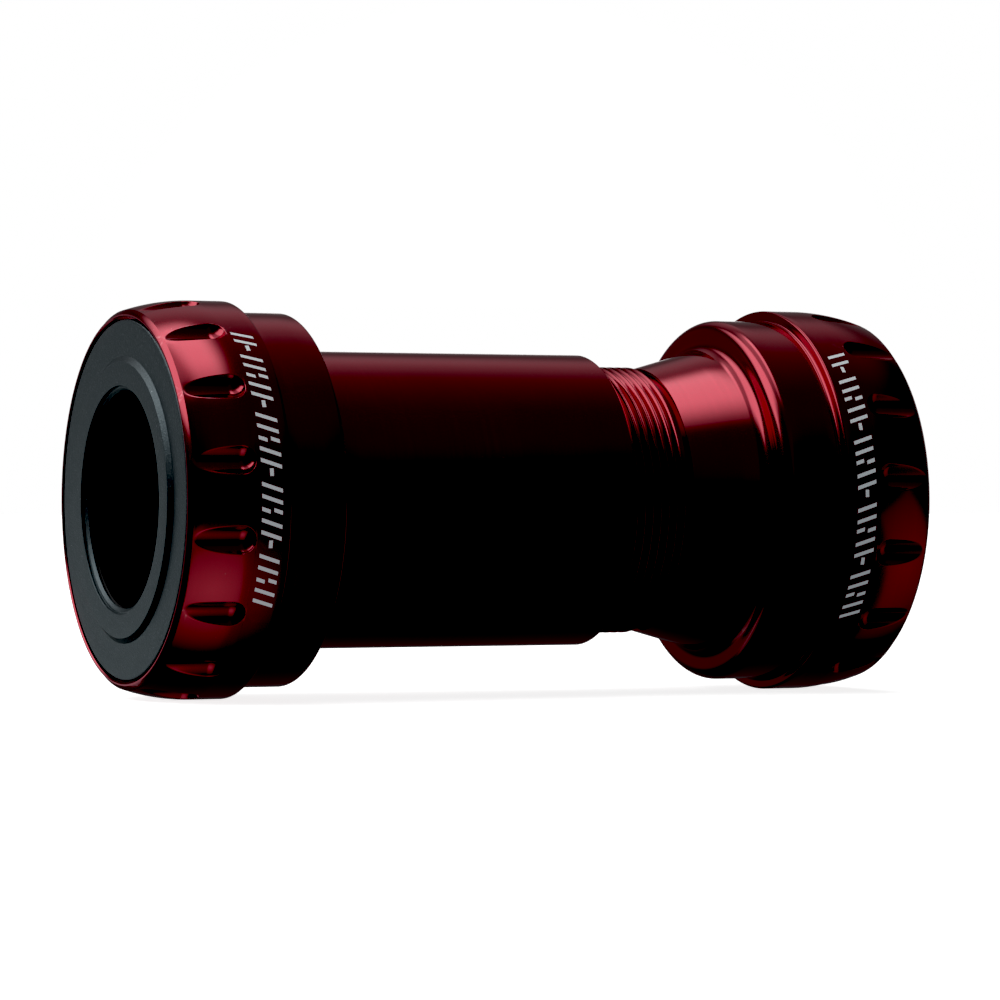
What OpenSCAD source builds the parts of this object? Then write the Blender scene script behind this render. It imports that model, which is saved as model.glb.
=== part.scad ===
// Thread-together bottom bracket for a 42 mm press-fit frame shell and a 24 mm crank spindle.
// Two cups screw into each other inside the shell, and each holds a ball bearing outboard of the frame.
// The spindle axis is the Y axis, +Z is up, and the origin is on that axis at the middle of the shell.
// The sleeve cup, on the drive side, is at -Y, and the threaded cup is at +Y.

/* [Frame shell] */
// Width of the frame shell, which is the distance between the two flanges
shell_w = 68; // [66:0.5:70]
// Diameter of the spigot that presses into the shell
spigot_d = 41.96; // [41.9:0.01:42]
// Length of the sleeve cup's spigot
spigot_l = 7; // [5.5:0.1:7.5]
// Length of the threaded cup's spigot
threaded_spigot_l = 7.5; // [6:0.1:8]

/* [Flange] */
// Largest diameter of the flange, which the bottom bracket wrench fits over
flange_d = 44.5; // [44.2:0.1:44.6]
// Width of the flange, from the shell's face to the lip
flange_w = 11.4; // [11.3:0.1:11.8]
// Radius of the crown that rounds the flange towards its lip
crown_r = 23; // [21:1:28]
// Width of the straight band beside the shell
band_w = 3.8; // [3:0.1:4]
// Number of wrench notches
notch_count = 16; // [12:1:18]
// Diameter of the ball-nosed cutter that mills the notches
notch_d = 3.5; // [2.8:0.1:3.8]
// Length of a notch, from the lip to its round end
notch_l = 7.5; // [5.5:0.1:7.5]
// Distance from the axis to the floor of a notch
notch_floor_r = 21.15; // [21:0.05:21.3]
// Turn of the threaded cup's notches against the sleeve cup's
notch_turn = 4.5; // [0:0.1:22.5]

/* [Sleeve and thread] */
// Outer diameter of the sleeve
sleeve_d = 33.5; // [33.2:0.1:34.5]
// Length of the sleeve, from the flange to its open end
sleeve_l = 44.1; // [43.2:0.1:44.5]
// Major diameter of the thread that joins the cups
thread_d = 30.8; // [30.6:0.1:30.8]
// Length of the thread on the threaded cup
thread_l = 20; // [18:1:20]
// Length of the thread in the sleeve
nut_l = 12; // [9:1:12]
// Length of the neck between the threaded cup's flange and its thread
neck_l = 16.2; // [15.5:0.1:16.5]

/* [Bearing] */
// Diameter of a ball
ball_d = 3.5; // [3.3:0.05:3.5]
// Number of balls in each bearing
ball_count = 16; // [12:1:16]

/* [Dust cover] */
// Bore that the spindle passes through
spindle_bore_d = 24.1; // [24.05:0.05:24.2]
// Outer diameter of the cover's disc
cover_d = 40.1; // [39.8:0.1:40.2]
// Height of the raised hub around the bore
hub_h = 0.5; // [0.4:0.05:1]
// Diameter of the hub's face
hub_d = 30.8; // [29:0.1:31.4]

/* [Hidden] */
$fn = 96;

RED = "#a3142e";
STEEL = "#b9bcc2";
CERAMIC = "#3b3c40";
RUBBER = "#1b1c1e";
COVER = "#26292c";
CAGE = "#c9a66b";

spigot_r = spigot_d / 2;
flange_r = flange_d / 2;
sleeve_r = sleeve_d / 2;
slack = 0.01;                  // how far a cutting shape runs past what it cuts
end_slack = 1;                 // how far a bore's cutter runs past the solid

// Edges of the flange
inner_edge_r = 0.3;            // rounding beside the shell
lip_bevel = 0.35;              // bevel on the outside of the lip
lip_in_bevel = 0.12;
flange_fillet_r = 0.4;         // where the flange meets the spigot
cover_gap = 0.25;              // radial clearance between the cover's disc and the lip
lip_in_r = cover_d / 2 + cover_gap;

// A 25 x 37 x 7 bearing stands on a shoulder in the flange, flush with the ledge under the cover.
bearing_r = 18.5;
bearing_bore_r = 12.5;
bearing_half_w = 3.5;
bearing_z = 6.05;              // middle of the bearing, outboard of the shell's face
ledge_z = bearing_z + bearing_half_w;
shoulder_z = bearing_z - bearing_half_w;
shoulder_r = 16.6;

// Thread: 1 mm pitch with 60 degree flanks
thread_pitch = 1;
thread_r = thread_d / 2;
thread_depth = 0.6;
thread_root_r = thread_r - thread_depth;
thread_crest_w = 0.125;
thread_bevel = 0.8;             // cut at 45 degrees from below the thread's root
thread_steps = 40;             // flat steps in one turn of the thread
flank_slope = tan(30);
relief_w = 0.35;               // groove between the thread and the neck
relief_floor_r = thread_root_r - 0.15;
nut_gap = 0.15;                // radial clearance between the two threads
nut_side_gap = 0.12;           // clearance along the axis on each flank
nut_mouth_bevel = 0.9;         // leads the thread into the sleeve

// Hollow insides of the cups
cup_bore_r = 12.9;             // clearance bore of the threaded cup around the spindle
sleeve_bore_r = 13.6;          // the same in the sleeve cup
relief_r = thread_r + nut_gap + 0.01;
relief_l = 9;                  // room behind the sleeve's thread for screwing the cups closer

// A plain nose in front of the thread carries the seal ring, which slides in a land inside the sleeve.
nose_r = 14.35;
nose_l = 12.6;
land_r = 14.66;
land_l = 12;
seal_ring_wire_r = 0.5;
seal_ring_r = 14.14;           // middle of the ring's section
seal_groove_w = 1.3;
seal_groove_r = 13.62;
seal_ring_to_end = 1.6;        // from the end of the nose to the middle of the groove

// Neck of the threaded cup
neck_r = 15.25;
neck_end_r = 17.2;
neck_fillet_r = 1.6;
spigot_round_r = 1.5;          // rounding of the threaded cup's spigot
sleeve_cup_round_r = 0.35;     // rounding of the sleeve cup's spigot
sleeve_fillet_r = 1.5;
sleeve_end_bevel = 0.3;

// Ball bearing
ball_r = ball_d / 2;
pitch_r = (bearing_r + bearing_bore_r) / 2;
track_r = 1.04 * ball_r;
track_gap = 0.02;
race_t = 2.05;                 // thickness of a race beside its track
race_bevel = 0.25;
seal_t = 0.6;
seal_in = 0.15;                // how far a seal stands inside the bearing's faces
seal_seat_r = 17;
seal_lip_r = 14.3;
seal_run_r = 14.2;
seal_step_z = bearing_half_w - seal_in - seal_t;
seal_dish = 0.15;
cage_half_t = 0.65;
cage_back_z = 2.3;
cage_front_z = -1;
cage_gap = 0.12;               // clearance of a ball in its pocket

// Dust cover
cover_t = 1.1;
cover_sink = 0.08;             // how far the disc lies below the lip
cover_face_z = flange_w - cover_sink;
cover_back_z = cover_face_z - cover_t;
cover_edge_r = 0.3;
cover_tube_r = 12.49;
cover_tube_l = 6.8;
cover_boss_r = 14;
hub_face_z = cover_face_z + hub_h;
hub_foot = 0.45;               // how far the hub's side spreads at its foot
bore_bevel = 0.65;
cover_ring_wire_r = 0.45;
cover_ring_r = 19.2;
cover_ring_z = ledge_z + cover_ring_wire_r + 0.03;
spindle_ring_wire_r = 0.45;
spindle_ring_r = spindle_bore_d / 2 + spindle_ring_wire_r + 0.01;
spindle_ring_z = 10.55;

// ---------- placing ----------

// Each half is drawn on the Z axis, with 0 at the shell's face and +Z pointing out of the frame.
module drive_side() {
    rotate([90, 0, 0]) translate([0, 0, shell_w / 2]) children();
}

module nondrive_side() {
    rotate([-90, 0, 0]) translate([0, 0, shell_w / 2]) children();
}

// The thread is drawn on the Z axis too, with 0 at the middle of the shell and +Z towards the threaded cup.
module thread_frame() {
    rotate([-90, 0, 0]) children();
}

// ---------- flat shapes, with the radius along X ----------

module band(r0, r1, z0, z1) {
    translate([r0, z0]) square([r1 - r0, z1 - z0]);
}

// The sharp corner beyond an arc, which rounds an outer edge when it is cut off and fills an inner
// one when it is added. The arc's middle lies by dr and dz times the radius from the corner.
module corner(r, z, radius, dr, dz) {
    difference() {
        translate([r - (dr < 0 ? radius : slack), z - (dz < 0 ? radius : slack)])
            square(radius + slack);
        translate([r + dr * radius, z + dz * radius]) circle(r = radius);
    }
}

// A triangle that cuts a 45 degree bevel. The solid lies by dr and dz from the corner.
module bevel(r, z, size, dr, dz) {
    reach = size + slack;
    polygon([
        [r - dr * slack, z - dz * slack],
        [r + dr * reach, z - dz * slack],
        [r - dr * slack, z + dz * reach]
    ]);
}

// ---------- cups ----------

module flange_shape() {
    difference() {
        union() {
            band(0, flange_r, 0, band_w);
            intersection() {
                band(0, flange_r, band_w - slack, flange_w);
                translate([flange_r - crown_r, band_w]) circle(r = crown_r, $fn = 256);
            }
        }
        corner(flange_r, 0, inner_edge_r, -1, 1);
        translate([lip_outer_r() - lip_bevel, flange_w]) rotate(-45)
            translate([-1, 0]) square([3, 1]);
    }
}

// Radius of the crown at the lip
function lip_outer_r() = flange_r - crown_r + sqrt(pow(crown_r, 2) - pow(flange_w - band_w, 2));

// The pocket for the cover's disc, the seat of the bearing and the hole in the shoulder
module pocket_shape() {
    band(0, lip_in_r, ledge_z, flange_w + end_slack);
    bevel(lip_in_r, flange_w, lip_in_bevel, 1, -1);
    band(0, bearing_r, shoulder_z, ledge_z + slack);
    band(0, shoulder_r, shoulder_z - 0.3, shoulder_z + slack);
}

module spigot_shape(length, round_r) {
    difference() {
        band(0, spigot_r, -length, slack);
        corner(spigot_r, -length, round_r, -1, 1);
    }
    corner(spigot_r, 0, flange_fillet_r, 1, -1);
}

// A ball-nosed cutter runs along the axis, so a notch fades out where the crown drops to the lip.
module notches(turn) {
    for (i = [0 : notch_count - 1])
        rotate([0, 0, turn + (i + 0.5) * 360 / notch_count])
            translate([notch_floor_r + notch_d / 2, 0, flange_w - notch_l + notch_d / 2]) {
                sphere(d = notch_d, $fn = 48);
                cylinder(d = notch_d, h = notch_l, $fn = 48);
            }
}

// A right-handed screw-shaped rod about +Z. Each turn has a root flat, a flank, a crest flat and a flank.
// Step i adds four points on the helix, and point 4 of a step is point 0 one turn on.
module screw_rod(z0, turns, root_r, crest_r, crest_w) {
    flank_w = (crest_r - root_r) * flank_slope;
    root_w = thread_flats(crest_w);
    points_z = [0, root_w, root_w + flank_w, root_w + flank_w + crest_w];
    points_r = [root_r, root_r, crest_r, crest_r];
    steps = turns * thread_steps;
    function place(i, k) = [
        points_r[k] * cos(i * 360 / thread_steps),
        points_r[k] * sin(i * 360 / thread_steps),
        z0 + thread_pitch * i / thread_steps + points_z[k]
    ];
    function at(i, k) = k == 4 ? (i + thread_steps) * 4 : i * 4 + k;
    bottom = (steps + thread_steps + 1) * 4;
    top = bottom + 1;
    points = concat(
        [for (i = [0 : steps + thread_steps]) for (k = [0 : 3]) place(i, k)],
        [[0, 0, z0], [0, 0, z0 + (turns + 1) * thread_pitch]]
    );
    faces = concat(
        [for (i = [0 : steps - 1]) for (k = [0 : 3]) [at(i, k), at(i, k + 1), at(i + 1, k + 1)]],
        [for (i = [0 : steps - 1]) for (k = [0 : 3]) [at(i, k), at(i + 1, k + 1), at(i + 1, k)]],
        [for (i = [0 : thread_steps - 1]) [at(i, 0), at(i + 1, 0), bottom]],
        [for (k = [0 : 3]) [at(0, k + 1), at(0, k), bottom]],
        [for (i = [steps : steps + thread_steps - 1]) [at(i + 1, 0), at(i, 0), top]],
        [for (k = [0 : 3]) [at(steps, k), at(steps, k + 1), top]]
    );
    polyhedron(points = points, faces = faces, convexity = 10);
}

// Width of the root flat that goes with a crest of this width
function thread_flats(crest_w) = thread_pitch - crest_w - 2 * thread_depth * flank_slope;

// Heights along the thread's axis, with 0 at the middle of the shell
thread_out_z = shell_w / 2 - neck_l - relief_w;
thread_in_z = thread_out_z - thread_l;
nose_end_z = thread_in_z - nose_l;
seal_ring_z = nose_end_z + seal_ring_to_end;
sleeve_end_z = sleeve_l - shell_w / 2;
nut_in_z = sleeve_end_z - nut_l;
land_out_z = nut_in_z - relief_l;
land_in_z = land_out_z - land_l;

// Both screw rods have their crests on the same helix, so the cups' threads are in mesh.
nut_crest_w = thread_crest_w - 2 * nut_gap * flank_slope + 2 * nut_side_gap;
nut_mouth_r = relief_r;
helix_z = floor(thread_in_z) - 2;
nut_helix_z = floor(nut_in_z) - 2 + (thread_flats(thread_crest_w) - thread_flats(nut_crest_w)) / 2;

module outer_thread() {
    intersection() {
        screw_rod(helix_z, thread_l + 3, thread_root_r, thread_r, thread_crest_w);
        rotate_extrude() polygon([
            [0, thread_in_z],
            [thread_r - thread_bevel, thread_in_z],
            [thread_r + slack, thread_in_z + thread_bevel + slack],
            [thread_r + slack, thread_out_z],
            [0, thread_out_z]
        ]);
    }
}

module inner_thread_cutter() {
    intersection() {
        screw_rod(nut_helix_z, nut_l + 4, thread_root_r + nut_gap, thread_r + nut_gap, nut_crest_w);
        translate([0, 0, nut_in_z - slack]) cylinder(r = relief_r + 1, h = nut_l + 2);
    }
}

module sleeve_cup() {
    color(RED) difference() {
        drive_side() difference() {
            rotate_extrude($fn = 256) difference() {
                union() {
                    flange_shape();
                    spigot_shape(spigot_l, sleeve_cup_round_r);
                    band(0, sleeve_r, -sleeve_l, -spigot_l + slack);
                    corner(sleeve_r, -spigot_l, sleeve_fillet_r, 1, -1);
                }
                pocket_shape();
                bevel(sleeve_r, -sleeve_l, sleeve_end_bevel, -1, 1);
            }
            notches(0);
        }
        thread_frame() {
            translate([0, 0, -shell_w]) cylinder(r = sleeve_bore_r, h = shell_w);
            translate([0, 0, land_in_z]) cylinder(r = land_r, h = land_l + slack);
            translate([0, 0, land_out_z]) cylinder(r = relief_r, h = relief_l);
            rotate_extrude() polygon([
                [0, sleeve_end_z - nut_mouth_bevel],
                [nut_mouth_r - nut_mouth_bevel, sleeve_end_z - nut_mouth_bevel],
                [nut_mouth_r + slack, sleeve_end_z + slack],
                [0, sleeve_end_z + slack]
            ]);
            inner_thread_cutter();
        }
    }
}

module threaded_cup() {
    color(RED) difference() {
        union() {
            nondrive_side() difference() {
                rotate_extrude($fn = 256) difference() {
                    union() {
                        flange_shape();
                        spigot_shape(threaded_spigot_l, spigot_round_r);
                        polygon([
                            [0, -neck_l],
                            [neck_r, -neck_l],
                            [neck_end_r, -threaded_spigot_l],
                            [0, -threaded_spigot_l]
                        ]);
                        corner(neck_end_r, -threaded_spigot_l, neck_fillet_r, 1, -1);
                        band(0, relief_floor_r, -neck_l - relief_w - 1, -neck_l + slack);
                    }
                    pocket_shape();
                }
                notches(notch_turn);
            }
            thread_frame() {
                outer_thread();
                rotate_extrude() difference() {
                    band(0, nose_r, nose_end_z, thread_in_z + slack);
                    bevel(nose_r, nose_end_z, sleeve_end_bevel, -1, 1);
                    band(seal_groove_r, nose_r + 1, seal_ring_z - seal_groove_w / 2,
                         seal_ring_z + seal_groove_w / 2);
                }
            }
        }
        thread_frame() translate([0, 0, -shell_w / 2]) cylinder(r = cup_bore_r, h = shell_w + 5);
    }
}

module ring(radius, wire_r, z) {
    rotate_extrude() translate([radius, z]) circle(r = wire_r, $fn = 32);
}

module sleeve_seal_ring() {
    color(RUBBER) thread_frame() ring(seal_ring_r, seal_ring_wire_r, seal_ring_z);
}

// ---------- bearing, with 0 at its middle ----------

module in_bearing() {
    translate([0, 0, bearing_z]) children();
}

module outer_race() {
    color(STEEL) in_bearing() rotate_extrude() difference() {
        band(bearing_r - race_t, bearing_r, -bearing_half_w, bearing_half_w);
        translate([pitch_r + ball_r + track_gap - track_r, 0]) circle(r = track_r);
        for (side = [-1, 1]) {
            bevel(bearing_r, side * bearing_half_w, race_bevel, -1, -side);
            mirror([0, side < 0 ? 1 : 0])
                band(bearing_r - race_t - slack, seal_seat_r, seal_step_z, bearing_half_w + slack);
        }
    }
}

module inner_race() {
    color(STEEL) in_bearing() rotate_extrude() difference() {
        band(bearing_bore_r, bearing_bore_r + race_t, -bearing_half_w, bearing_half_w);
        translate([pitch_r - ball_r - track_gap + track_r, 0]) circle(r = track_r);
        for (side = [-1, 1]) {
            bevel(bearing_bore_r, side * bearing_half_w, race_bevel, 1, -side);
            mirror([0, side < 0 ? 1 : 0])
                band(seal_run_r, bearing_bore_r + race_t + slack, seal_step_z, bearing_half_w + slack);
        }
    }
}

module balls() {
    color(CERAMIC) in_bearing()
        for (i = [0 : ball_count - 1])
            rotate([0, 0, i * 360 / ball_count]) translate([pitch_r, 0, 0]) sphere(r = ball_r, $fn = 48);
}

// A one-piece crown cage: the balls snap in from its open side.
module ball_cage() {
    color(CAGE) in_bearing() difference() {
        rotate_extrude() band(pitch_r - cage_half_t, pitch_r + cage_half_t, cage_front_z, cage_back_z);
        for (i = [0 : ball_count - 1])
            rotate([0, 0, i * 360 / ball_count])
                translate([pitch_r, 0, 0]) sphere(r = ball_r + cage_gap, $fn = 48);
    }
}

// side is 1 on the outboard face of the bearing and -1 on the inboard one.
module bearing_seal(side) {
    color(RUBBER) in_bearing() mirror([0, 0, side < 0 ? 1 : 0]) rotate_extrude() difference() {
        band(seal_lip_r, seal_seat_r, seal_step_z, seal_step_z + seal_t);
        band(seal_lip_r + 0.6, seal_seat_r - 0.7, seal_step_z + seal_t - seal_dish, bearing_half_w);
    }
}

// ---------- dust cover ----------

module dust_cover() {
    color(COVER) rotate_extrude() difference() {
        union() {
            difference() {
                band(0, cover_d / 2, cover_back_z, cover_face_z);
                corner(cover_d / 2, cover_face_z, cover_edge_r, -1, -1);
            }
            polygon([
                [0, cover_face_z - slack],
                [hub_d / 2 + hub_foot, cover_face_z - slack],
                [hub_d / 2, hub_face_z],
                [0, hub_face_z]
            ]);
            band(0, cover_boss_r, ledge_z, cover_back_z + slack);
            band(0, cover_tube_r, ledge_z - cover_tube_l, ledge_z + slack);
        }
        band(-1, spindle_bore_d / 2, ledge_z - cover_tube_l - 1, hub_face_z + 1);
        bevel(spindle_bore_d / 2, hub_face_z, bore_bevel, 1, -1);
        translate([cover_ring_r, cover_ring_z]) circle(r = cover_ring_wire_r, $fn = 32);
        band(-1, spindle_ring_r + spindle_ring_wire_r,
             spindle_ring_z - spindle_ring_wire_r - slack, spindle_ring_z + spindle_ring_wire_r + slack);
    }
}

module cover_seal_ring() {
    color(RUBBER) ring(cover_ring_r, cover_ring_wire_r, cover_ring_z);
}

module spindle_seal_ring() {
    color(RUBBER) ring(spindle_ring_r, spindle_ring_wire_r, spindle_ring_z);
}

sleeve_cup();
threaded_cup();
sleeve_seal_ring();
drive_side() outer_race();  // drive_outer_race
drive_side() inner_race();  // drive_inner_race
drive_side() balls();  // drive_balls
drive_side() ball_cage();  // drive_ball_cage
drive_side() bearing_seal(1);  // drive_outboard_seal
drive_side() bearing_seal(-1);  // drive_inboard_seal
drive_side() dust_cover();  // drive_dust_cover
drive_side() cover_seal_ring();  // drive_cover_seal_ring
drive_side() spindle_seal_ring();  // drive_spindle_seal_ring
nondrive_side() outer_race();  // nondrive_outer_race
nondrive_side() inner_race();  // nondrive_inner_race
nondrive_side() balls();  // nondrive_balls
nondrive_side() ball_cage();  // nondrive_ball_cage
nondrive_side() bearing_seal(1);  // nondrive_outboard_seal
nondrive_side() bearing_seal(-1);  // nondrive_inboard_seal
nondrive_side() dust_cover();  // nondrive_dust_cover
nondrive_side() cover_seal_ring();  // nondrive_cover_seal_ring
nondrive_side() spindle_seal_ring();  // nondrive_spindle_seal_ring
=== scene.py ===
"""Looks for the thread-together bottom bracket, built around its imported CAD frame.

The two cups and the two dust covers are rebuilt here as fine meshes with the CAD's own sizes. All other
pieces are the CAD's. Everything is in metres, and the spindle axis is Y.
"""

import math

import bmesh
import bpy
import numpy as np
from mathutils import Matrix, Vector


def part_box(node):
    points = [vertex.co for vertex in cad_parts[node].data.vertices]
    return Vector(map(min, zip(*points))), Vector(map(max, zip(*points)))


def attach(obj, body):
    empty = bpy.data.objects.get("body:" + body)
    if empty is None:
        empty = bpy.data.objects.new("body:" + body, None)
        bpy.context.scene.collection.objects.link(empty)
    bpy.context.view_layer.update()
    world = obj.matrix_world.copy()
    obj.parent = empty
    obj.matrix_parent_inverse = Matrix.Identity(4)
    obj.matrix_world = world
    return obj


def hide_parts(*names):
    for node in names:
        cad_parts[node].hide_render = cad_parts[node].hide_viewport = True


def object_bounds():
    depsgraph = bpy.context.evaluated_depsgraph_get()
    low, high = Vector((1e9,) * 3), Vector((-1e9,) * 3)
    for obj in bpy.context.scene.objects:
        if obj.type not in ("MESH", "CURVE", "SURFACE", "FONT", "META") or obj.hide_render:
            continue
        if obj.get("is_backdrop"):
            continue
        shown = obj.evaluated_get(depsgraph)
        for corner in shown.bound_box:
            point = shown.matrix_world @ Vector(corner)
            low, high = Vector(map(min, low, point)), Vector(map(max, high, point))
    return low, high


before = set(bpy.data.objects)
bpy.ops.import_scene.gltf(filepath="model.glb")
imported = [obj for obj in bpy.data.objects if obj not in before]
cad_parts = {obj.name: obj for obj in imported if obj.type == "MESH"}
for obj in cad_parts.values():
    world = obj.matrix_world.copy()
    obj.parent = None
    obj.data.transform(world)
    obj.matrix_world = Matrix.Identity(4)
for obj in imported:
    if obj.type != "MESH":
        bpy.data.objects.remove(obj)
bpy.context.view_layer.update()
MM = 0.001

# ---------- sizes, in millimetres, as in the CAD ----------

SHELL_HALF = 34.0
FLANGE_W = abs(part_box("sleeve_cup")[0][1]) / MM - SHELL_HALF
FLANGE_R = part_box("sleeve_cup")[1][0] / MM - 0.015
COVER_FACE = FLANGE_W - 0.08
HUB_FACE = abs(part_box("drive_dust_cover")[0][1]) / MM - SHELL_HALF
COVER_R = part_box("drive_dust_cover")[1][0] / MM
BAND_W = 3.8
CROWN_R = 23.0
NOTCHES = 16
NOTCH_R = 1.75
NOTCH_L = 7.5
NOTCH_FLOOR = 21.15
NOTCH_TURN = {"drive": 0.0, "nondrive": 4.5}
SPIGOT_R = 20.98
SPIGOT_L = {"drive": 7.0, "nondrive": 7.5}
SLEEVE_R = 16.75
SLEEVE_L = 44.1
THREAD_R = 15.4
THREAD_ROOT = 14.8
PITCH = 1.0
NECK_L = 16.2
NECK_R = 15.25
NECK_END_R = 17.2
RELIEF_W = 0.35
THREAD_L = 20.0
NOSE_L = 12.6
NUT_L = 12.0
NUT_GAP = 0.15
NUT_PHASE = 0.495
CUP_CREST = 0.125
NUT_CREST = 0.115
THREAD_BACK = 0.3
LIP_IN_R = COVER_R + 0.25
LEDGE_Z = 9.55
SEAT_Z = 2.55
SEAT_R = 18.5
SHOULDER_R = 16.6
SHOULDER_Z = SEAT_Z - 0.3
CUP_BORE_R = 12.9
SLEEVE_BORE_R = 13.6
RELIEF_R = 15.56
LAND_R = 14.66
LAND_L = 12.0
RELIEF_L = 9.0
NOSE_R = 14.35
NOSE_GROOVE_R = 13.62
NOSE_GROOVE_HALF = 0.65
SPINDLE_BORE_R = 12.05
TUBE_R = 12.49
TUBE_L = 6.8
COVER_T = 1.1
SEAL_LOW = 10.09
SEAL_HIGH = 11.01
SEAL_GROOVE_R = 12.97
MARK_BARS = 26
MARK_SPAN = {"drive": (-30.5, 56.5), "nondrive": (-36.5, 51.0)}

# ---------- mesh helpers ----------


def new_object(name, verts, faces, sharp_angle=32):
    """One mesh object. Edges sharper than the angle, in degrees, stay sharp."""
    mesh = bpy.data.meshes.new(name)
    mesh.from_pydata([tuple(v) for v in verts], [], faces)
    mesh.validate()
    mesh.shade_smooth()
    mesh.set_sharp_from_angle(angle=math.radians(sharp_angle))
    piece = bpy.data.objects.new(name, mesh)
    bpy.context.scene.collection.objects.link(piece)
    return piece


def grid_faces(rows, columns):
    """Quads of a grid that closes on itself both ways."""
    r = np.arange(rows)[:, None]
    c = np.arange(columns)[None, :]
    r1, c1 = (r + 1) % rows, (c + 1) % columns
    quads = np.stack([r * columns + c, r * columns + c1, r1 * columns + c1, r1 * columns + c], -1)
    return quads.reshape(-1, 4)


def arc(r, z, radius, start, end, steps=8):
    """Points of an arc about (r, z). Angles in degrees, with 0 along +r and 90 along +z."""
    angles = np.radians(np.linspace(start, end, steps))
    return [(r + radius * math.cos(a), z + radius * math.sin(a)) for a in angles]


def place(side, r, angle, z):
    """A point of one half: z is outboard of the shell's face, and the angle rises from +X to +Z."""
    way = -1 if side == "drive" else 1
    return np.stack(
        [r * np.cos(angle), way * (SHELL_HALF + z), r * np.sin(angle)], -1
    ) * MM


def lathe(name, side, points, columns=256):
    """A solid of revolution from a closed outline of (r, z) points."""
    p = np.array(points)
    angle = np.arange(columns) * 2 * math.pi / columns
    r, a = np.meshgrid(p[:, 0], angle, indexing="ij")
    z = np.repeat(p[:, 1:2], columns, axis=1)
    verts = place(side, r, a, z).reshape(-1, 3)
    return new_object(name, verts, oriented(verts, grid_faces(len(p), columns)))


def oriented(verts, faces):
    """The faces, turned to point outwards."""
    v, f = np.asarray(verts), np.asarray(faces)
    a, b, c, d = (v[f[:, i]] for i in range(4))
    volume = (a * np.cross(b, c)).sum() + (a * np.cross(c, d)).sum()
    return f.tolist() if volume > 0 else f[:, ::-1].tolist()


# ---------- cups ----------


def crown(z):
    """Radius of the flange's outside at z, without its edges."""
    return FLANGE_R - CROWN_R + math.sqrt(CROWN_R ** 2 - max(z - BAND_W, 0) ** 2)


LIP_R = crown(FLANGE_W)
LIP_BEVEL = 0.35
EDGE_R = 0.3
SPIGOT_ROWS = (-1.5, -3.0, -4.5)


def notch_half_width(z):
    """Half the width of a notch at the crown's surface, or 0 where there is none."""
    centre_z = FLANGE_W - NOTCH_L + NOTCH_R
    centre_r = NOTCH_FLOOR + NOTCH_R
    if z >= centre_z:
        cutter = NOTCH_R
    else:
        cutter = math.sqrt(max(NOTCH_R ** 2 - (centre_z - z) ** 2, 0))
    rise = centre_r - crown(z)
    return math.sqrt(max(cutter ** 2 - rise ** 2, 0)) if cutter > rise else 0.0


def notch_radius(z, across):
    """Distance from the axis to the wall of the notch, at this distance beside its middle."""
    centre_z = FLANGE_W - NOTCH_L + NOTCH_R
    centre_r = NOTCH_FLOOR + NOTCH_R
    reach = NOTCH_R ** 2 - across ** 2 - max(centre_z - z, 0) ** 2
    if reach <= 0:
        return 2 * centre_r
    height = centre_r - math.sqrt(reach)
    return math.hypot(height, across)


def soft_lower(a, b, width=0.09):
    """The lower of two heights, with the corner between them rounded."""
    near = max(width - abs(a - b), 0) / width
    return min(a, b) - near * near * width / 4


def notch_span():
    """Heights where a notch begins and ends on the crown."""
    heights = [z for z in np.arange(BAND_W, FLANGE_W, 0.001) if notch_half_width(z) > 0]
    return heights[0], heights[-1]


def crown_rows():
    """Heights along the crown, close together where a notch begins and ends."""
    low, high = notch_span()
    bevel_foot = LIP_R - LIP_BEVEL + FLANGE_W
    top = min(z for z in np.arange(high, FLANGE_W, 0.001) if crown(z) > bevel_foot - z)
    margin = 0.06
    rows = [BAND_W, low - margin, low - margin / 2]
    middle, span = (low + high) / 2, (high - low) / 2
    rows += [middle - span * math.cos(t) for t in np.linspace(0, math.pi, 90)]
    return rows + [high + margin] + list(np.linspace(high + 2 * margin, top, 4))


def flange_outline(inside):
    """Outline of a cup: outside from the lip to the shell's side, then what inside adds, then the pocket."""
    crown_z = crown_rows()[::-1]
    bevel = LIP_BEVEL
    outside = [(LIP_R - bevel - 0.04, FLANGE_W), (LIP_R - bevel + 0.03, FLANGE_W - 0.03)]
    first_crown = len(outside)
    outside += [(crown(z), z) for z in crown_z]
    last_crown = len(outside)
    band_rows, fillet = (3.0, 2.0, 1.0), 0.4
    outside += [(FLANGE_R, z) for z in band_rows]
    outside += arc(FLANGE_R - EDGE_R, EDGE_R, EDGE_R, 0, -90, 7)
    outside += [(SPIGOT_R + fillet + 0.2, 0)]
    outside += arc(SPIGOT_R + fillet, -fillet, fillet, 90, 180, 7)
    pocket = [
        (SHOULDER_R, SHOULDER_Z), (SHOULDER_R, SEAT_Z), (SEAT_R, SEAT_Z),
        (SEAT_R, LEDGE_Z), (LIP_IN_R, LEDGE_Z), (LIP_IN_R, FLANGE_W - 0.12),
        (LIP_IN_R + 0.12, FLANGE_W),
    ]
    return outside + inside + pocket, range(first_crown, last_crown)


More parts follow.
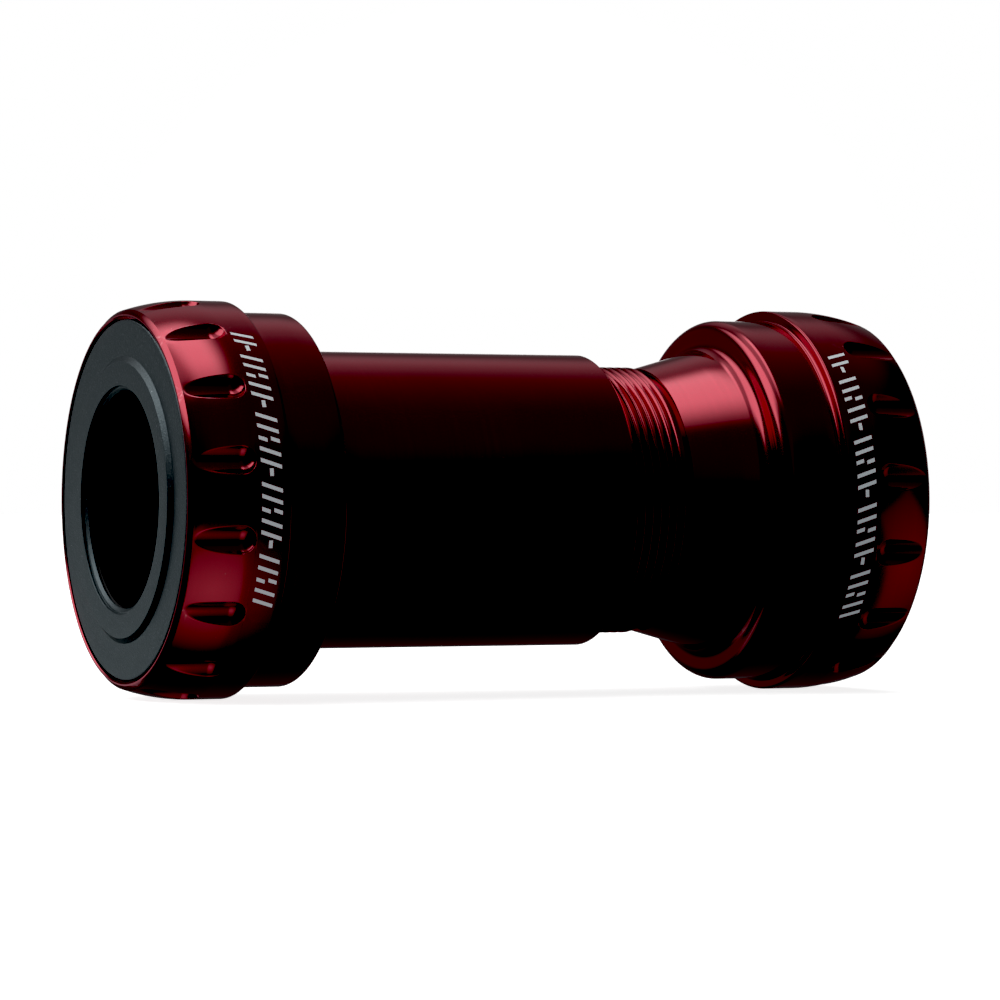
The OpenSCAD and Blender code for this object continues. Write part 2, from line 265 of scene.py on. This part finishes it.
def sleeve_inside():
    """The sleeve cup's outline from the spigot round the sleeve's end to the bearing pocket."""
    end, soft, fillet = SPIGOT_L["drive"], 0.35, 1.5
    points = [(SPIGOT_R, z) for z in SPIGOT_ROWS]
    points += arc(SPIGOT_R - soft, -end + soft, soft, 0, -90, 7)
    points += [(SPIGOT_R - 1.5, -end), (SLEEVE_R + fillet + 0.5, -end)]
    points += arc(SLEEVE_R + fillet, -end - fillet, fillet, 90, 180, 10)
    points += [(SLEEVE_R, -z) for z in np.linspace(end + fillet + 2, SLEEVE_L - 2, 12)]
    points += [(SLEEVE_R, -SLEEVE_L + 0.3), (SLEEVE_R - 0.3, -SLEEVE_L)]
    mouth = 0.9
    land_start = -SLEEVE_L + NUT_L + RELIEF_L
    land_end = land_start + LAND_L
    points += [(RELIEF_R, -SLEEVE_L), (RELIEF_R - 0.02, -SLEEVE_L + mouth * 0.5)]
    points += [(RELIEF_R, -SLEEVE_L + mouth), (RELIEF_R, land_start)]
    points += [(LAND_R, land_start), (LAND_R, land_end)]
    points += [(SLEEVE_BORE_R, land_end), (SLEEVE_BORE_R, SHOULDER_Z)]
    return points


def neck_inside():
    """The threaded cup's outline from the spigot along the neck and the thread's core to the pocket."""
    end, soft, fillet = SPIGOT_L["nondrive"], 1.5, 1.6
    points = [(SPIGOT_R, z) for z in SPIGOT_ROWS]
    points += arc(SPIGOT_R - soft, -end + soft, soft, 0, -90, 14)
    points += [(SPIGOT_R - soft - 0.3, -end), (NECK_END_R + fillet + 0.3, -end)]
    points += arc(NECK_END_R + fillet, -end - fillet, fillet, 90, 170, 14)
    points += [
        (NECK_END_R + (NECK_R - NECK_END_R) * t, -end - fillet - (NECK_L - end - fillet) * t)
        for t in np.linspace(0.12, 1, 8)
    ]
    core, groove_r = THREAD_ROOT - 0.03, THREAD_ROOT - 0.15
    thread_end = NECK_L + RELIEF_W + THREAD_L
    points += [(groove_r, -NECK_L), (groove_r, -NECK_L - RELIEF_W), (core, -NECK_L - RELIEF_W)]
    points += [(core, -thread_end), (NOSE_R, -thread_end)]
    nose_end = thread_end + NOSE_L
    groove = -nose_end + 1.6
    groove_back, groove_front = groove + NOSE_GROOVE_HALF, groove - NOSE_GROOVE_HALF
    points += [(NOSE_R, groove_back), (NOSE_GROOVE_R, groove_back)]
    points += [(NOSE_GROOVE_R, groove_front), (NOSE_R, groove_front)]
    points += [(NOSE_R, -nose_end + 0.3), (NOSE_R - 0.3, -nose_end)]
    points += [(CUP_BORE_R, -nose_end), (CUP_BORE_R, SHOULDER_Z)]
    return points


def cup(name, side, inside):
    """A cup whose wrench notches follow the path of a ball-nosed cutter along the axis."""
    outline, on_crown = flange_outline(inside)
    sector = 2 * math.pi / NOTCHES
    within = list(np.sin(np.linspace(-math.pi / 2, math.pi / 2, 29)))
    beyond = (0.015, 0.035, 0.06, 0.1)
    plain = np.linspace(0, 1, 11)[1:-1]
    narrow, off_crown = 0.02, 1.0
    angles, radii = [], []
    for i, (r, z) in enumerate(outline):
        half = max(notch_half_width(z), narrow) if i in on_crown else off_crown
        across = [-half - b for b in beyond[::-1]]
        across += [t * half for t in within]
        across += [half + b for b in beyond]
        beside = [math.asin(x / r) for x in across]
        start, stop = beside[-1], sector + beside[0]
        low = [soft_lower(r, notch_radius(z, x)) if i in on_crown else r for x in across]
        angles.append(beside + [start + (stop - start) * t for t in plain])
        radii.append(low + [r] * len(plain))
    columns = len(angles[0])
    middles = (np.arange(NOTCHES) + 0.5) * sector + math.radians(NOTCH_TURN[side])
    turn = middles[None, :, None] + np.array(angles)[:, None, :]
    reach = np.repeat(np.array(radii)[:, None, :], NOTCHES, axis=1)
    height = np.array([z for r, z in outline])[:, None, None] + 0 * turn
    way = 1 if side == "drive" else -1
    points = place(side, reach, way * turn, height).reshape(-1, 3)
    return new_object(name, points, oriented(points, grid_faces(len(outline), columns * NOTCHES)))


def thread_profile(crest, depth, soft=0.035):
    """One pitch of a thread as (along, height), with height 0 at the root and softened crest edges."""
    flank = depth * math.tan(math.radians(30))
    low = PITCH - crest - 2 * flank
    high = low + flank
    rising = [(0.0, 0.0), (low - soft, 0.0)]
    rising += [(low + soft * 0.5, soft * 0.9), (low + flank * 0.5, depth * 0.5)]
    rising += [(high - soft * 0.5, depth - soft * 0.9), (high + soft * 0.4, depth)]
    falling = [(high + crest - soft * 0.4, depth), (high + crest + soft * 0.5, depth - soft * 0.9)]
    falling += [(high + crest + flank * 0.5, depth * 0.5), (PITCH - soft * 0.5, soft * 0.9)]
    return rising + falling


def thread(name, profile, root_r, back_r, y_low, y_high, phase=0.0):
    """A helical band, right-handed about +Y, with the profile on one side and a plain back on the other.

    At +X each pitch of the profile begins at a whole number of millimetres plus the phase.
    """
    per_turn = 144
    fade_in, fade_out = 0.6 * per_turn, 0.4 * per_turn
    outwards = 1 if root_r > back_r else -1
    steps = int((y_high - y_low) / PITCH * per_turn)
    first = (y_low - phase) % PITCH / PITCH * per_turn
    rows = []
    for i in range(steps + 1):
        angle = 2 * math.pi * (first + i) / per_turn
        y0 = y_low + PITCH * i / per_turn
        fade = min(1.0, (i + 1) / fade_in, (steps - i + 1) / fade_out)
        strip = [(root_r + outwards * h * fade, y0 + along) for along, h in profile]
        strip += [(root_r, y0 + PITCH), (back_r, y0 + PITCH), (back_r, y0)]
        rows.append([(r * math.cos(angle), y, -r * math.sin(angle)) for r, y in strip])
    count = len(rows[0])
    verts = np.array(rows).reshape(-1, 3) * MM
    i, k = np.arange(steps)[:, None] * count, np.arange(count)[None, :]
    k1 = (k + 1) % count
    faces = np.stack([i + k, i + k1, i + count + k1, i + count + k], -1).reshape(-1, 4)
    ends = [tuple(range(count)), tuple(range(steps * count, (steps + 1) * count))]
    return new_object(name, verts, oriented(verts, faces) + ends, sharp_angle=50)


# ---------- dust covers ----------


def dust_cover(name, side):
    """The cover's disc, hub and tube, with rounded moulded edges."""
    bore = SPINDLE_BORE_R
    back, tube_end = COVER_FACE - COVER_T, LEDGE_Z - TUBE_L
    foot_r, face_r, collar_r = 15.85, 15.4, 14.0
    soft, fine, foot, rim = 0.14, 0.1, 0.16, 0.3
    bevel_z = HUB_FACE - 0.65
    step_r, step_z, step_soft = bore + 0.32, HUB_FACE - 0.36, 0.05
    mouth_r = bore + 0.6
    points = [(bore, tube_end), (bore, 5.0), (bore, SEAL_LOW)]
    points += [(SEAL_GROOVE_R, SEAL_LOW), (SEAL_GROOVE_R, SEAL_HIGH), (bore, SEAL_HIGH)]
    points += [(bore, bevel_z - 0.02), (bore + 0.03, bevel_z + 0.02)]
    points += arc(step_r + step_soft, step_z - step_soft, step_soft, 150, 90, 4)
    points += [(mouth_r - 0.02, step_z), (mouth_r, step_z + 0.02)]
    points += arc(mouth_r + fine, HUB_FACE - fine, fine, 180, 90, 8)
    points += [(mouth_r + 0.4, HUB_FACE), (collar_r, HUB_FACE)]
    points += arc(face_r - soft, HUB_FACE - soft, soft, 90, 30, 7)
    points += arc(foot_r + foot, COVER_FACE + foot, foot, 210, 270, 7)
    points += [(18.0, COVER_FACE)]
    points += arc(COVER_R - rim, COVER_FACE - rim, rim, 90, 0, 8)
    points += [(COVER_R, back)]
    points += arc(19.2, 10.03, 0.46, 24.4, 155.6, 9)
    points += [(collar_r, back), (collar_r, LEDGE_Z), (TUBE_R, LEDGE_Z), (TUBE_R, tube_end)]
    return lathe(name, side, points, columns=288)


# ---------- marks ----------


def etched_mark(name, side):
    """A plain band of slanted bars and dashes, a hair above the metal."""
    lift, sunk = 0.012, 0.02
    low, high = 1.15, 3.55
    start, end = MARK_SPAN[side]
    verts, faces = [], []

    def bar(a0, a1, z0, z1, lean):
        """A curved four-cornered patch with its own thickness. Angles in degrees."""
        base = len(verts)
        cuts = 5
        for level in (0, 1):
            for i in range(cuts):
                z = z0 + (z1 - z0) * i / (cuts - 1)
                shift = lean * (i / (cuts - 1) - 0.5)
                for a in (a0 + shift, a1 + shift):
                    r = crown(z) - sunk + level * (sunk + lift)
                    verts.append((r, math.radians(a), z))
        per = 2 * cuts
        for i in range(cuts - 1):
            a, b, c, d = (base + 2 * i + k for k in (0, 1, 3, 2))
            faces.append((a, d, c, b))
            faces.append((a + per, b + per, c + per, d + per))
            faces.append((a, a + per, d + per, d))
            faces.append((b, c, c + per, b + per))
        last = base + per - 2
        faces.append((base, base + 1, base + 1 + per, base + per))
        faces.append((last, last + per, last + 1 + per, last + 1))

    step = (end - start) / MARK_BARS
    middle, thin, short, wide = (low + high) / 2, 0.22, 1.0, step * 0.34
    for i in range(MARK_BARS):
        a = start + i * step
        if i % 6 == 5:
            bar(a + step * 0.1, a + step * 0.75, middle - thin, middle + thin, 0)
        elif i % 6 == 2:
            bar(a, a + wide, low, low + short, step * 0.25)
            bar(a + step * 0.1, a + step * 0.44, high - short, high, step * 0.25)
        else:
            bar(a, a + wide, low, high, step * 0.6)
    v = np.array(verts)
    points = place(side, v[:, 0], v[:, 1], v[:, 2])
    piece = new_object(name, points, faces, sharp_angle=40)
    fix_normals(piece)
    return piece


def fix_normals(piece):
    """Turn every face outwards."""
    bm = bmesh.new()
    bm.from_mesh(piece.data)
    bmesh.ops.recalc_face_normals(bm, faces=bm.faces)
    bm.to_mesh(piece.data)
    bm.free()


# ---------- materials ----------


class Graph:
    """A short way to write node trees."""

    def __init__(self, tree):
        self.tree = tree

    def add(self, kind, **settings):
        """A new node. Settings that start with in_ are its input sockets."""
        node = self.tree.nodes.new(kind)
        for key, value in settings.items():
            if key.startswith("in_"):
                node.inputs[key[3:].replace("_", " ")].default_value = value
            else:
                setattr(node, key, value)
        return node

    def link(self, out, into):
        self.tree.links.new(out, into)

    def noise(self, vector, scale, detail=4.0, rough=0.55):
        node = self.add("ShaderNodeTexNoise", in_Scale=scale, in_Detail=detail, in_Roughness=rough)
        self.link(vector, node.inputs["Vector"])
        return node.outputs["Fac"]

    def ramp(self, value, low, high, out_low, out_high):
        """The value's range from low to high, mapped to another and clamped to it."""
        node = self.add("ShaderNodeMapRange")
        node.inputs["From Min"].default_value = low
        node.inputs["From Max"].default_value = high
        node.inputs["To Min"].default_value = out_low
        node.inputs["To Max"].default_value = out_high
        self.link(value, node.inputs["Value"])
        return node.outputs["Result"]

    def math(self, operation, a, b):
        """One sum of two numbers. Either may be a socket."""
        node = self.add("ShaderNodeMath", operation=operation)
        for socket, value in zip(node.inputs, (a, b)):
            if isinstance(value, (int, float)):
                socket.default_value = value
            else:
                self.link(value, socket)
        return node.outputs["Value"]

    def mix(self, factor, a, b):
        """A colour between a and b. Either may be a socket."""
        node = self.add("ShaderNodeMix", data_type="RGBA")
        self.link(factor, node.inputs["Factor"])
        for socket, value in ((node.inputs[6], a), (node.inputs[7], b)):
            if isinstance(value, tuple):
                socket.default_value = value
            else:
                self.link(value, socket)
        return node.outputs[2]

    def bump(self, height, strength, distance, under=None):
        """Normals from a height, on top of another bump's if it is given. Distance in metres."""
        node = self.add("ShaderNodeBump")
        node.inputs["Strength"].default_value = strength
        node.inputs["Distance"].default_value = distance
        self.link(height, node.inputs["Height"])
        if under is not None:
            self.link(under, node.inputs["Normal"])
        return node.outputs["Normal"]


class Nodes(Graph):
    """The node tree of a new material."""

    def __init__(self, name):
        self.material = bpy.data.materials.new(name)
        self.material.use_nodes = True
        super().__init__(self.material.node_tree)
        self.shader = self.tree.nodes["Principled BSDF"]

    def set(self, **values):
        """Values of the shader's own sockets, with _ for each space in a socket's name."""
        for key, value in values.items():
            self.shader.inputs[key.replace("_", " ")].default_value = value

    def scaled(self, scale):
        """Object coordinates, stretched by scale along each axis."""
        coordinates = self.add("ShaderNodeTexCoord")
        mapping = self.add("ShaderNodeMapping")
        mapping.inputs["Scale"].default_value = scale
        self.link(coordinates.outputs["Object"], mapping.inputs["Vector"])
        return mapping.outputs["Vector"]


def anodised_red():
    """Turned aluminium with a clear dark red anodised layer: faint turning lines, specks and worn edges."""
    n = Nodes("anodised_red")
    rings = n.scaled((0.0, 1.0, 0.0))
    whole = n.scaled((1.0, 1.0, 1.0))
    turning = n.noise(rings, 9000.0, 3.0, 0.7)
    soft_lines = n.noise(rings, 1800.0, 2.0, 0.5)
    blotch = n.noise(whole, 60.0, 5.0, 0.6)
    specks = n.noise(whole, 2600.0, 2.0, 0.5)
    shade = n.mix(
        n.ramp(blotch, 0.3, 0.7, 0.0, 1.0), (0.235, 0.012, 0.026, 1), (0.300, 0.018, 0.036, 1)
    )
    fine = n.mix(n.ramp(soft_lines, 0.35, 0.65, 0.0, 1.0), shade, (0.268, 0.015, 0.031, 1))
    geometry = n.add("ShaderNodeNewGeometry")
    worn_edge = n.ramp(geometry.outputs["Pointiness"], 0.56, 0.68, 0.0, 0.35)
    worn = n.math("MULTIPLY", worn_edge, n.ramp(specks, 0.45, 0.6, 0.2, 1.0))
    dust = n.ramp(specks, 0.765, 0.80, 0.0, 0.6)
    marked = n.mix(n.math("MAXIMUM", worn, dust), fine, (0.60, 0.30, 0.33, 1))
    n.link(marked, n.shader.inputs["Base Color"])
    rough = n.math(
        "ADD", n.ramp(blotch, 0.25, 0.75, 0.11, 0.17), n.ramp(turning, 0.3, 0.7, -0.015, 0.025)
    )
    n.link(rough, n.shader.inputs["Roughness"])
    n.set(Metallic=1.0, Specular_Tint=(0.90, 0.40, 0.46, 1))
    n.set(Coat_Weight=0.65, Coat_Roughness=0.09, Coat_IOR=1.6)
    under = n.bump(turning, 0.04, 0.00002)
    n.link(n.bump(specks, 0.02, 0.00002, under), n.shader.inputs["Normal"])
    return n.material


def black_cover():
    """Satin blue-black cover with a fine blasted grain, a cloudy tone and a few pale scuffs."""
    n = Nodes("black_cover")
    whole = n.scaled((1.0, 1.0, 1.0))
    grain = n.noise(whole, 5200.0, 2.0, 0.6)
    cloud = n.noise(whole, 90.0, 4.0, 0.6)
    scuff = n.noise(whole, 1300.0, 3.0, 0.7)
    base = n.mix(n.ramp(cloud, 0.3, 0.7, 0.0, 1.0), (0.018, 0.022, 0.025, 1), (0.032, 0.038, 0.042, 1))
    grained = n.mix(n.ramp(grain, 0.58, 0.72, 0.0, 0.7), base, (0.16, 0.18, 0.19, 1))
    marked = n.mix(n.ramp(scuff, 0.72, 0.76, 0.0, 0.8), grained, (0.55, 0.57, 0.58, 1))
    n.link(marked, n.shader.inputs["Base Color"])
    n.link(n.ramp(cloud, 0.2, 0.8, 0.30, 0.40), n.shader.inputs["Roughness"])
    n.link(n.bump(grain, 0.8, 0.00007), n.shader.inputs["Normal"])
    n.set(Metallic=0.0, IOR=1.8, Specular_Tint=(0.74, 0.93, 1.0, 1))
    return n.material


def bearing_steel():
    """Ground ring steel with lines round the axis."""
    n = Nodes("bearing_steel")
    lines = n.noise(n.scaled((0.0, 1.0, 0.0)), 12000.0, 3.0, 0.7)
    cloud = n.noise(n.scaled((1.0, 1.0, 1.0)), 140.0, 4.0, 0.6)
    n.link(n.mix(cloud, (0.50, 0.51, 0.53, 1), (0.62, 0.63, 0.65, 1)), n.shader.inputs["Base Color"])
    n.link(n.ramp(lines, 0.3, 0.7, 0.16, 0.30), n.shader.inputs["Roughness"])
    n.link(n.bump(lines, 0.12, 0.00001), n.shader.inputs["Normal"])
    n.set(Metallic=1.0)
    return n.material


def ceramic():
    """Polished dark silicon nitride with a faint mottle."""
    n = Nodes("ceramic_balls")
    mottle = n.noise(n.scaled((1.0, 1.0, 1.0)), 1500.0, 4.0, 0.6)
    n.link(n.mix(mottle, (0.030, 0.031, 0.034, 1), (0.060, 0.060, 0.066, 1)), n.shader.inputs["Base Color"])
    n.link(n.ramp(mottle, 0.3, 0.7, 0.05, 0.12), n.shader.inputs["Roughness"])
    n.set(IOR=2.0)
    return n.material


def cage_nylon():
    """Moulded tan nylon with a slight grain."""
    n = Nodes("cage_nylon")
    grain = n.noise(n.scaled((1.0, 1.0, 1.0)), 3000.0, 3.0, 0.6)
    n.link(n.mix(grain, (0.50, 0.36, 0.19, 1), (0.66, 0.50, 0.28, 1)), n.shader.inputs["Base Color"])
    n.link(n.ramp(grain, 0.3, 0.7, 0.38, 0.52), n.shader.inputs["Roughness"])
    n.link(n.bump(grain, 0.15, 0.00002), n.shader.inputs["Normal"])
    n.set(Subsurface_Weight=0.1, Subsurface_Scale=0.001)
    return n.material


def rubber(name, shade):
    """Moulded rubber with a dusty bloom."""
    n = Nodes(name)
    grain = n.noise(n.scaled((1.0, 1.0, 1.0)), 4000.0, 3.0, 0.6)
    cloud = n.noise(n.scaled((1.0, 1.0, 1.0)), 220.0, 4.0, 0.6)
    dark, dusty = (shade, shade, shade * 1.1, 1), (shade * 2.4, shade * 2.4, shade * 2.5, 1)
    n.link(n.mix(n.ramp(cloud, 0.35, 0.75, 0.0, 1.0), dark, dusty), n.shader.inputs["Base Color"])
    n.link(n.ramp(cloud, 0.2, 0.8, 0.5, 0.7), n.shader.inputs["Roughness"])
    n.link(n.bump(grain, 0.2, 0.00002), n.shader.inputs["Normal"])
    return n.material


def laser_etch_painted_glow():
    """Silver-white laser marking: bare, finely frosted metal, with a painted glow from a faint bluish
    emission.
    """
    n = Nodes("laser_etch_painted_glow")
    dots = n.noise(n.scaled((1.0, 1.0, 1.0)), 6500.0, 3.0, 0.65)
    n.link(n.mix(dots, (0.74, 0.77, 0.77, 1), (0.92, 0.95, 0.95, 1)), n.shader.inputs["Base Color"])
    n.link(n.ramp(dots, 0.3, 0.7, 0.45, 0.62), n.shader.inputs["Roughness"])
    n.link(n.bump(dots, 0.3, 0.00001), n.shader.inputs["Normal"])
    # painted glow: the emission makes the marks shine a little on their own, brighter than the lamps make
    # them
    n.set(Metallic=0.0, Emission_Color=(0.80, 0.92, 1.0, 1), Emission_Strength=0.20)
    return n.material


def finish(piece, material):
    """Give the piece this one material."""
    piece.data.materials.clear()
    piece.data.materials.append(material)


# ---------- the object ----------

RED = anodised_red()
BLACK = black_cover()
STEEL = bearing_steel()
CERAMIC = ceramic()
NYLON = cage_nylon()
SEAL = rubber("seal_rubber", 0.012)
RUBBER = rubber("ring_rubber", 0.009)
ETCH_WITH_PAINTED_GLOW = laser_etch_painted_glow()

sleeve_cup = cup("sleeve_cup_turned", "drive", sleeve_inside())
threaded_cup = cup("threaded_cup_turned", "nondrive", neck_inside())
thread_high = SHELL_HALF - NECK_L - RELIEF_W - PITCH
cup_thread = thread(
    "threaded_cup_thread", thread_profile(CUP_CREST, THREAD_R - THREAD_ROOT),
    THREAD_ROOT, THREAD_ROOT - THREAD_BACK, thread_high + PITCH - THREAD_L, thread_high,
)
nut_end = SLEEVE_L - SHELL_HALF
nut_thread = thread(
    "sleeve_thread", thread_profile(NUT_CREST, THREAD_R - THREAD_ROOT),
    THREAD_R + NUT_GAP, RELIEF_R + THREAD_BACK, nut_end - NUT_L, nut_end - PITCH - 0.2,
    phase=NUT_PHASE,
)
for piece, body, node in (
    (sleeve_cup, "sleeve_cup_body", "sleeve_cup"),
    (nut_thread, "sleeve_cup_body", "sleeve_cup"),
    (threaded_cup, "threaded_cup_body", "threaded_cup"),
    (cup_thread, "threaded_cup_body", "threaded_cup"),
):
    finish(piece, RED)
    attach(piece, body)
    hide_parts(node)

for side in ("drive", "nondrive"):
    cover = dust_cover(side + "_cover_moulded", side)
    finish(cover, BLACK)
    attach(cover, side + "_spindle_side")
    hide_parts(side + "_dust_cover")

for side, body in (("drive", "sleeve_cup_body"), ("nondrive", "threaded_cup_body")):
    mark = etched_mark(side + "_etched_mark", side)
    finish(mark, ETCH_WITH_PAINTED_GLOW)
    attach(mark, body)

CAD_FINISH = {
    "outer_race": STEEL, "inner_race": STEEL, "balls": CERAMIC, "ball_cage": NYLON,
    "outboard_seal": SEAL, "inboard_seal": SEAL, "seal_ring": RUBBER,
}
for name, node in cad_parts.items():
    for ending, material in CAD_FINISH.items():
        if name.endswith(ending):
            for slot in node.material_slots:
                slot.material = material

# ---------- floor, lights and camera ----------


def floor():
    """A white table top that blends into the white surroundings."""
    reach, low = 6.0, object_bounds()[0].z
    corners = [(x * reach, y * reach, low) for x, y in ((-1, -1), (1, -1), (1, 1), (-1, 1))]
    mesh = bpy.data.meshes.new("floor")
    mesh.from_pydata(corners, [], [(0, 1, 2, 3)])
    piece = bpy.data.objects.new("floor", mesh)
    bpy.context.scene.collection.objects.link(piece)
    n = Nodes("pale_floor")
    n.set(Base_Color=(0.9, 0.9, 0.9, 1), Roughness=0.9, Specular_IOR_Level=0.0)
    n.set(Emission_Color=(1, 1, 1, 1), Emission_Strength=0.85)
    piece.data.materials.append(n.material)
    piece.visible_glossy = False
    piece.visible_diffuse = False
    piece.visible_shadow = False
    piece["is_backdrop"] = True


def card(name, centre, target, width, depth, brightness, colour, spread):
    """A lit card near the object, unseen by the camera. Its width lies across the spindle axis."""
    light = bpy.data.lights.new(name, "AREA")
    light.shape = "RECTANGLE"
    light.size, light.size_y = width * MM, depth * MM
    light.energy = brightness * math.pi * width * depth * MM * MM
    light.color = colour
    light.spread = math.radians(spread)
    lamp = bpy.data.objects.new(name, light)
    lamp.location = Vector(centre) * MM
    away = (Vector(centre) - Vector(target)).normalized()
    along = Vector((0, 1, 0))
    side_way = along.cross(away).normalized()
    lamp.matrix_world = Matrix.Translation(lamp.location) @ Matrix(
        (side_way, away.cross(side_way), away)
    ).transposed().to_4x4()
    lamp.visible_camera = False
    bpy.context.scene.collection.objects.link(lamp)


def studio():
    """White for the camera; a dark studio with a big soft box overhead and dim cards for the rest."""
    world = bpy.data.worlds.new("studio")
    bpy.context.scene.world = world
    world.use_nodes = True
    g = Graph(world.node_tree)
    way = g.add("ShaderNodeTexCoord").outputs["Generated"]
    split = g.add("ShaderNodeSeparateXYZ")
    g.link(way, split.inputs[0])
    x, y, z = split.outputs

    def edge(value, start, end):
        """0 before start and 1 after end, smooth between. They may run either way."""
        out = g.ramp(value, start, end, 0.0, 1.0)
        out.node.interpolation_type = "SMOOTHSTEP"
        return out

    def product(*factors):
        """All the factors multiplied. The first is a socket."""
        out = factors[0]
        for factor in factors[1:]:
            out = g.math("MULTIPLY", out, factor)
        return out

    def toward(direction, start, end):
        """Bright round this direction: start and end are cosines."""
        dot = g.add("ShaderNodeVectorMath", operation="DOT_PRODUCT")
        g.link(way, dot.inputs[0])
        dot.inputs[1].default_value = Vector(direction).normalized()
        return edge(dot.outputs["Value"], start, end)

    # overhead, a direction's place is where it meets a ceiling one unit up
    across, along = g.math("DIVIDE", x, z), g.math("DIVIDE", y, z)
    above = edge(z, 0.12, 0.30)
    near_box = product(
        edge(along, -0.14, 0.03), edge(along, 0.30, 0.16),
        edge(across, -0.75, -0.38), edge(across, 0.66, 0.04),
    )
    far_box = product(
        edge(along, -2.6, -1.8), edge(along, -0.36, -0.60),
        edge(across, -1.7, -0.7), edge(across, 0.66, 0.10),
    )
    between = product(
        edge(along, -0.7, -0.4), edge(along, 0.10, -0.05),
        edge(across, -0.85, -0.45), edge(across, 0.66, 0.04), 0.35,
    )
    box = g.math("MAXIMUM", g.math("MAXIMUM", near_box, far_box), between)
    spill = g.math("ADD", product(edge(across, 0.35, -1.2), 0.30), 0.03)
    ceiling = product(
        above, edge(along, 1.1, 0.6), edge(along, -0.6, 0.0), edge(across, -2.4, -0.9), spill
    )
    backdrop = product(toward((-0.91, 0.414, 0.0), 0.980, 0.998), edge(z, 0.0, 0.05), 1.0)
    backdrop_haze = product(toward((-0.80, 0.42, 0.42), 0.80, 0.97), edge(z, 0.0, 0.1), 0.07)
    drive_wall = product(
        toward((-0.91, -0.414, 0.0), 0.86, 0.97), edge(z, -0.30, -0.12), 0.10
    )
    box_strength, everywhere = 2.25, 0.05
    lit = product(above, box, box_strength)
    for light in (ceiling, backdrop, backdrop_haze, drive_wall, everywhere):
        lit = g.math("ADD", lit, light)
    seen = g.add("ShaderNodeLightPath").outputs["Is Camera Ray"]
    shade = g.math("MAXIMUM", lit, seen)
    background = world.node_tree.nodes["Background"]
    g.link(shade, background.inputs["Strength"])
    background.inputs["Color"].default_value = (1, 1, 1, 1)


def camera():
    """Level with the axis, well off to the drive side, with a long lens."""
    turn = math.radians(24.488)
    distance, aside = 0.51563, 0.031444
    right = Vector((math.sin(turn), math.cos(turn), 0))
    ahead = Vector((-math.cos(turn), math.sin(turn), 0))
    shell_face = Vector((0, -SHELL_HALF * MM, 0))
    data = bpy.data.cameras.new("camera")
    data.sensor_width = 36
    data.lens = 166.07
    eye = bpy.data.objects.new("camera", data)
    eye.location = shell_face + right * aside - ahead * distance
    eye.rotation_mode = "QUATERNION"
    eye.rotation_quaternion = ahead.to_track_quat("-Z", "Y")
    bpy.context.scene.collection.objects.link(eye)
    bpy.context.scene.camera = eye


floor()
studio()
rosy, cool = (1.0, 0.75, 0.78), (0.85, 0.97, 1.0)
card("low_card", (43, -42, -55), (0, -42, 0), 112, 34, 0.095, rosy, 86)
card("low_card_wide", (43, -38, -55), (0, -42, 0), 104, 44, 0.050, rosy, 86)
card("far_card", (46, 102, -46), (12, 43, -8), 130, 44, 0.055, rosy, 86)
card("left_card", (-109, -95, -42), (0, -45, 0), 84, 54, 0.046, cool, 50)
card("cover_card", (-109, -95, 0), (0, -45, 0), 100, 70, 0.015, cool, 50)
camera()

# contrasty tones: pure white surroundings and deep blacks
VIEW = bpy.context.scene.view_settings
VIEW.view_transform = "Standard"
VIEW.use_curve_mapping = True
VIEW.curve_mapping.black_level = (0.020, 0.020, 0.020)
VIEW.curve_mapping.update()
